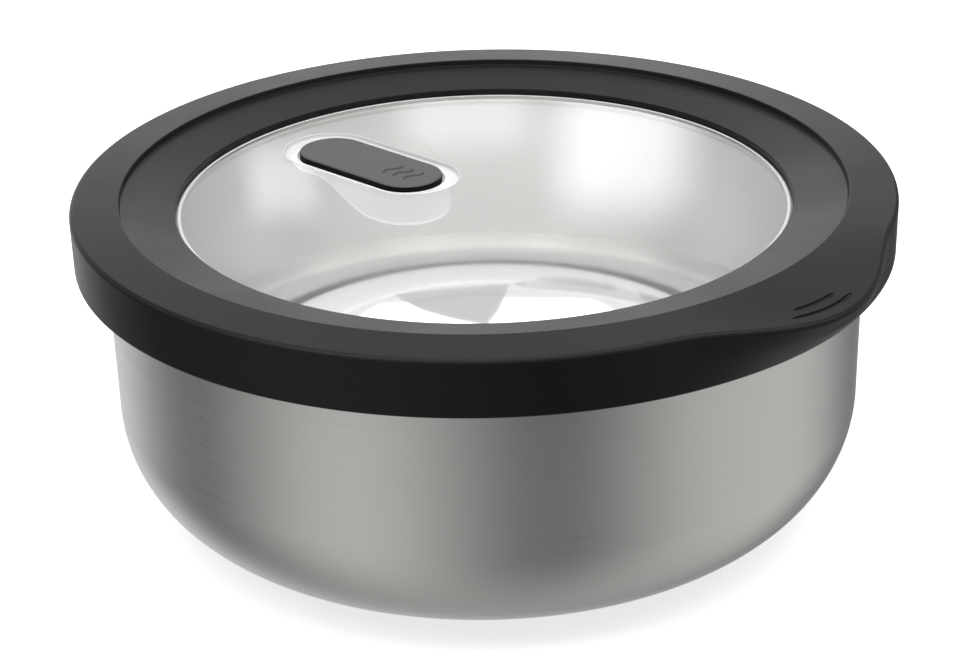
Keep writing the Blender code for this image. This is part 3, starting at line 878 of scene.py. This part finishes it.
# The camera, fitted to the lid's rings and the bowl's outline: its turn from the thumb tab, its rise over
# the top of the lid, its roll, its distance and lens, and the point that it looks at, from the top of the lid
CAMERA_TURN = math.radians(-47.0)
CAMERA_RISE = math.radians(21.77)
CAMERA_ROLL = math.radians(-1.35)
CAMERA_DISTANCE = 0.6
CAMERA_LENS = 101.75
AIM_LEFT = 0.43 * MM
AIM_BELOW = 37.57 * MM

# Directions on the stage: level towards the camera, level to its right, and up
TOWARDS = Vector((math.sin(CAMERA_TURN), -math.cos(CAMERA_TURN), 0.0))
RIGHT = Vector((math.cos(CAMERA_TURN), math.sin(CAMERA_TURN), 0.0))
UP = Vector((0.0, 0.0, 1.0))

# Light that the pale room gives to dull surfaces
ROOM_FILL = 0.35

# Light level of the cloth panels by their angle round the table, in degrees from the camera's side
TENT_PANELS = (
    (-180, 1.00), (-150, 0.90), (-98, 0.18), (-42, 0.70), (18, 0.17),
    (72, 0.68), (100, 0.74), (145, 0.17), (180, 1.00),
)

# Soft cards for the window to mirror: metres to the right, back and up, width, height and level
SOFT_CARDS = (
    (0.069, 0.682, 0.322, 0.094, 0.097, 2.6),
    (-0.008, 0.713, 0.312, 0.096, 0.061, 1.3),
    (-0.096, 0.663, 0.327, 0.047, 0.055, 1.6),
    (-0.127, 0.646, 0.332, 0.086, 0.151, 0.8),
    (0.130, 0.637, 0.335, 0.092, 0.149, 0.9),
)

# Soft boxes: degrees from the camera's side, rise, metres away, width, height, watts, seen through the window
SOFT_BOXES = (
    ("overhead_soft_box", 180.0, 88.0, 1.25, 1.6, 1.6, 13.5, True),
    ("left_soft_box", -60.0, 50.0, 1.20, 0.60, 0.6, 2.0, False),
    ("right_soft_box", 80.0, 50.0, 1.20, 0.60, 0.6, 1.5, False),
)


def white_world():
    """Pale studio room: white to the eye, to metal and to glass, and a softer fill for the rest."""
    world = bpy.data.worlds.new("studio_room")
    world.use_nodes = True
    world.node_tree.nodes.clear()
    path = add_node(world, "ShaderNodeLightPath").outputs
    seen = add_node(world, "ShaderNodeMath", links={0: path["Is Camera Ray"], 1: path["Is Glossy Ray"]},
                    operation="MAXIMUM")
    shown = add_node(world, "ShaderNodeMath", links={0: seen, 1: path["Is Transmission Ray"]},
                     operation="MAXIMUM")
    level = add_node(world, "ShaderNodeMapRange", {"To Min": ROOM_FILL, "To Max": 1.0}, {"Value": shown})
    light = add_node(world, "ShaderNodeBackground", {"Color": linear("#ffffff")}, {"Strength": level})
    add_node(world, "ShaderNodeOutputWorld", links={"Surface": light})
    bpy.context.scene.world = world


def floor_finish():
    """Painted board, white with a faint grain; part of its white shows to the camera whatever the light."""
    material = new_finish("painted_board_white")
    where = add_node(material, "ShaderNodeTexCoord").outputs["Object"]
    fibre = add_node(material, "ShaderNodeTexNoise",
                     {"Scale": 1.0 / (1.5 * MM), "Detail": 3.0}, {"Vector": where})
    rough = add_node(material, "ShaderNodeMapRange",
                     {**NOISE_SPAN, "To Min": 0.85, "To Max": 0.95}, {"Value": fibre})
    paint = add_node(material, "ShaderNodeBsdfPrincipled",
                     {"Base Color": linear("#f4f4f4")}, {"Roughness": rough})
    seen = add_node(material, "ShaderNodeLightPath").outputs["Is Camera Ray"]
    share = add_node(material, "ShaderNodeMath", {1: 0.6}, {0: seen}, operation="MULTIPLY")
    glow = add_node(material, "ShaderNodeEmission", {"Color": linear("#ffffff")}, {"Strength": share})
    both = add_node(material, "ShaderNodeAddShader", links={0: paint, 1: glow})
    add_node(material, "ShaderNodeOutputMaterial", links={"Surface": both})
    return material


def tent_finish():
    """Grey and white cloth panels round the table, in soft steps, for the steel to mirror; plain grey cloth
    under the table fades into them."""
    material = new_finish("studio_cloth_panels")
    where = add_node(material, "ShaderNodeTexCoord").outputs["Object"]
    parts = add_node(material, "ShaderNodeSeparateXYZ", links={0: where}).outputs
    angle = add_node(material, "ShaderNodeMath", links={0: parts["Y"], 1: parts["X"]}, operation="ARCTAN2")
    share = add_node(material, "ShaderNodeMapRange", {"From Min": -math.pi, "From Max": math.pi},
                     {"Value": angle})
    panels = add_node(material, "ShaderNodeValToRGB", links={"Fac": share})
    ramp = panels.color_ramp
    ramp.interpolation = "EASE"
    while len(ramp.elements) < len(TENT_PANELS):
        ramp.elements.new(0.5)
    for element, (degrees, level) in zip(ramp.elements, TENT_PANELS):
        element.position = degrees / 360 + 0.5
        element.color = (level, level, level, 1.0)
    flat = add_node(material, "ShaderNodeVectorMath", {1: (1.0, 1.0, 0.0)}, {0: where}, operation="MULTIPLY")
    radius = add_node(material, "ShaderNodeVectorMath", links={0: flat}, operation="LENGTH")
    outer = add_node(material, "ShaderNodeMapRange", {"From Min": 0.1, "From Max": 0.75},
                     {"Value": radius.outputs["Value"]})
    cloth = add_node(material, "ShaderNodeMix", {6: linear("#b4b4b4")}, {0: outer, 7: panels},
                     data_type="RGBA")
    glow = add_node(material, "ShaderNodeEmission", links={"Color": cloth.outputs[2]})
    add_node(material, "ShaderNodeOutputMaterial", links={"Surface": glow})
    return material


def card_finish(level):
    """Plain grey card."""
    material = new_finish("studio_grey_card")
    glow = add_node(material, "ShaderNodeEmission", {"Color": (level, level, level, 1.0)})
    add_node(material, "ShaderNodeOutputMaterial", links={"Surface": glow})
    return material


def soft_card_finish(level):
    """White card that fades out towards its edges."""
    material = new_finish("studio_soft_card")
    where = add_node(material, "ShaderNodeTexCoord").outputs["Object"]
    size = add_node(material, "ShaderNodeVectorMath", links={0: where}, operation="ABSOLUTE")
    parts = add_node(material, "ShaderNodeSeparateXYZ", links={0: size}).outputs
    across = add_node(material, "ShaderNodeMapRange", {"From Min": 0.5, "From Max": 0.15},
                      {"Value": parts["X"]}, interpolation_type="SMOOTHSTEP")
    upright = add_node(material, "ShaderNodeMapRange", {"From Min": 0.5, "From Max": 0.1, "To Max": level},
                       {"Value": parts["Y"]}, interpolation_type="SMOOTHSTEP")
    both = add_node(material, "ShaderNodeMath", links={0: across, 1: upright}, operation="MULTIPLY")
    glow = add_node(material, "ShaderNodeEmission", {"Color": linear("#ffffff")}, {"Strength": both})
    clear = add_node(material, "ShaderNodeBsdfTransparent")
    fade = add_node(material, "ShaderNodeAddShader", links={0: glow, 1: clear})
    add_node(material, "ShaderNodeOutputMaterial", links={"Surface": fade})
    return material


def grid(name, cells, half_width):
    """Level square of cells round the origin."""
    shape = bmesh.new()
    bmesh.ops.create_grid(shape, x_segments=cells, y_segments=cells, size=half_width)
    return as_object(name, shape)


def hide_from(obj, *rays):
    """Hide a stage piece from some kinds of ray."""
    for ray in rays:
        setattr(obj, "visible_" + ray, False)


def lay_floor():
    """Pale floor under the bowl, which the steel doesn't mirror."""
    floor = grid("floor", 8, 3.0)
    floor.location.z = BOWL_LOW[2] - 0.1 * MM
    floor.data.materials.append(floor_finish())
    hide_from(floor, "glossy")


def back_card():
    """Bent card behind the container: a turned shape whose front is cut away."""
    card = turned("back_card", [(0.9, 0.36), (0.9, 0.7), (0.3, 1.1)], 180)
    shape = bmesh.new()
    shape.from_mesh(card.data)
    ahead = []
    for face in shape.faces:
        middle = face.calc_center_median()
        if middle.x > -0.35 * abs(middle.y):
            ahead.append(face)
    bmesh.ops.delete(shape, geom=ahead, context="FACES")
    shape.to_mesh(card.data)
    shape.free()
    return card


def ceiling_card():
    """Wedge-shaped card overhead, which the base mirrors through the window."""
    height = 1.2
    reach = 1.3
    corners = [(0.0, 0.0, height)]
    for degrees in (-9.0, 37.0):
        angle = math.radians(degrees)
        corners.append((reach * math.cos(angle), reach * math.sin(angle), height))
    shape = bmesh.new()
    shape.faces.new([shape.verts.new(corner) for corner in corners])
    return as_object("ceiling_card", shape)


def hang_cloths():
    """Cloth panels round the table and a card behind for the steel to mirror, and the card overhead."""
    tent = turned("studio_tent", [(0.0, -0.6), (0.8, -0.6), (0.8, 0.25)], 180)
    cloths = (
        (tent, tent_finish(), "transmission"),
        (back_card(), card_finish(0.5), "transmission"),
        (ceiling_card(), card_finish(0.62), "glossy"),
    )
    for cloth, finish, ray in cloths:
        cloth.data.materials.append(finish)
        cloth.rotation_euler.z = CAMERA_TURN - math.radians(90.0)
        hide_from(cloth, "camera", "diffuse", "shadow", ray)


def set_soft_cards():
    """Soft cards behind the container that face the lid."""
    lid_middle = Vector((0.0, 0.0, 0.07))
    for index, (sideways, back, up, width, height, level) in enumerate(SOFT_CARDS):
        card = grid("soft_card_%d" % index, 1, 0.5)
        card.data.materials.append(soft_card_finish(level))
        card.location = RIGHT * sideways - TOWARDS * back + UP * up
        card.rotation_euler = (card.location - lid_middle).to_track_quat("Z", "Y").to_euler()
        card.scale = (width, height, 1.0)
        hide_from(card, "camera", "diffuse", "transmission", "shadow")


def set_lamps():
    """Soft boxes that face the middle of the container."""
    container_middle = Vector((0.0, 0.0, 0.05))
    for name, degrees, rise, distance, width, height, watts, through_window in SOFT_BOXES:
        turn = math.radians(degrees)
        lean = math.radians(rise)
        level = TOWARDS * math.cos(turn) + RIGHT * math.sin(turn)
        data = bpy.data.lights.new(name, "AREA")
        data.shape = "RECTANGLE"
        data.size = width
        data.size_y = height
        data.energy = watts
        lamp = bpy.data.objects.new(name, data)
        lamp.location = distance * (level * math.cos(lean) + UP * math.sin(lean))
        lamp.rotation_euler = (container_middle - lamp.location).to_track_quat("-Z", "Y").to_euler()
        lamp.visible_transmission = through_window
        bpy.context.scene.collection.objects.link(lamp)


def set_camera():
    """Camera that looks down at the front of the container."""
    crest = Vector((0.0, 0.0, RIM_HIGH[2]))
    location = crest + CAMERA_DISTANCE * (math.cos(CAMERA_RISE) * TOWARDS + math.sin(CAMERA_RISE) * UP)
    target = crest - AIM_LEFT * RIGHT - AIM_BELOW * UP
    forward = (target - location).normalized()
    across = forward.cross(UP).normalized()
    upright = across.cross(forward)
    rolled_across = across * math.cos(CAMERA_ROLL) + upright * math.sin(CAMERA_ROLL)
    rolled_upright = upright * math.cos(CAMERA_ROLL) - across * math.sin(CAMERA_ROLL)
    data = bpy.data.cameras.new("camera")
    data.lens = CAMERA_LENS
    data.sensor_width = 36.0
    camera = bpy.data.objects.new("camera", data)
    axes = Matrix((rolled_across, rolled_upright, -forward)).transposed().to_4x4()
    camera.matrix_world = Matrix.Translation(location) @ axes
    bpy.context.scene.collection.objects.link(camera)
    bpy.context.scene.camera = camera


class CONTAINER_OT_stage(bpy.types.Operator):
    """Pale floor, soft light, cloths and cards for the steel and the window to mirror, and the camera"""
    bl_idname = "container.stage"
    bl_label = "Stage"

    def execute(self, context):
        context.scene.view_settings.view_transform = "Standard"
        white_world()
        lay_floor()
        hang_cloths()
        set_soft_cards()
        set_lamps()
        set_camera()
        return {"FINISHED"}


OPERATORS = (
    CONTAINER_OT_stage,
    CONTAINER_OT_bowl,
    CONTAINER_OT_rim,
    CONTAINER_OT_window,
    CONTAINER_OT_seal,
    CONTAINER_OT_rocker,
    CONTAINER_OT_vent_seal,
)


class CONTAINER_PT_panel(bpy.types.Panel):
    """Sizes, colours and pieces of the container"""
    bl_idname = "CONTAINER_PT_panel"
    bl_label = "Steel food container"
    bl_space_type = "VIEW_3D"
    bl_region_type = "UI"
    bl_category = "Container"

    def draw(self, context):
        for name, group in GROUPS.items():
            column = self.layout.column(align=True)
            for key in group.__annotations__:
                column.prop(getattr(context.scene, name), key)
        for operator in OPERATORS:
            self.layout.operator(operator.bl_idname)


def register():
    for name, group in GROUPS.items():
        bpy.utils.register_class(group)
        setattr(bpy.types.Scene, name, PointerProperty(type=group))
    for operator in OPERATORS:
        bpy.utils.register_class(operator)
    bpy.utils.register_class(CONTAINER_PT_panel)


def unregister():
    bpy.utils.unregister_class(CONTAINER_PT_panel)
    for operator in reversed(OPERATORS):
        bpy.utils.unregister_class(operator)
    for name, group in GROUPS.items():
        delattr(bpy.types.Scene, name)
        bpy.utils.unregister_class(group)


def main():
    register()
    bpy.ops.container.stage()
    bpy.ops.container.bowl()
    bpy.ops.container.rim()
    bpy.ops.container.window()
    bpy.ops.container.seal()
    bpy.ops.container.rocker()
    bpy.ops.container.vent_seal()


if __name__ == "__main__":
    main()
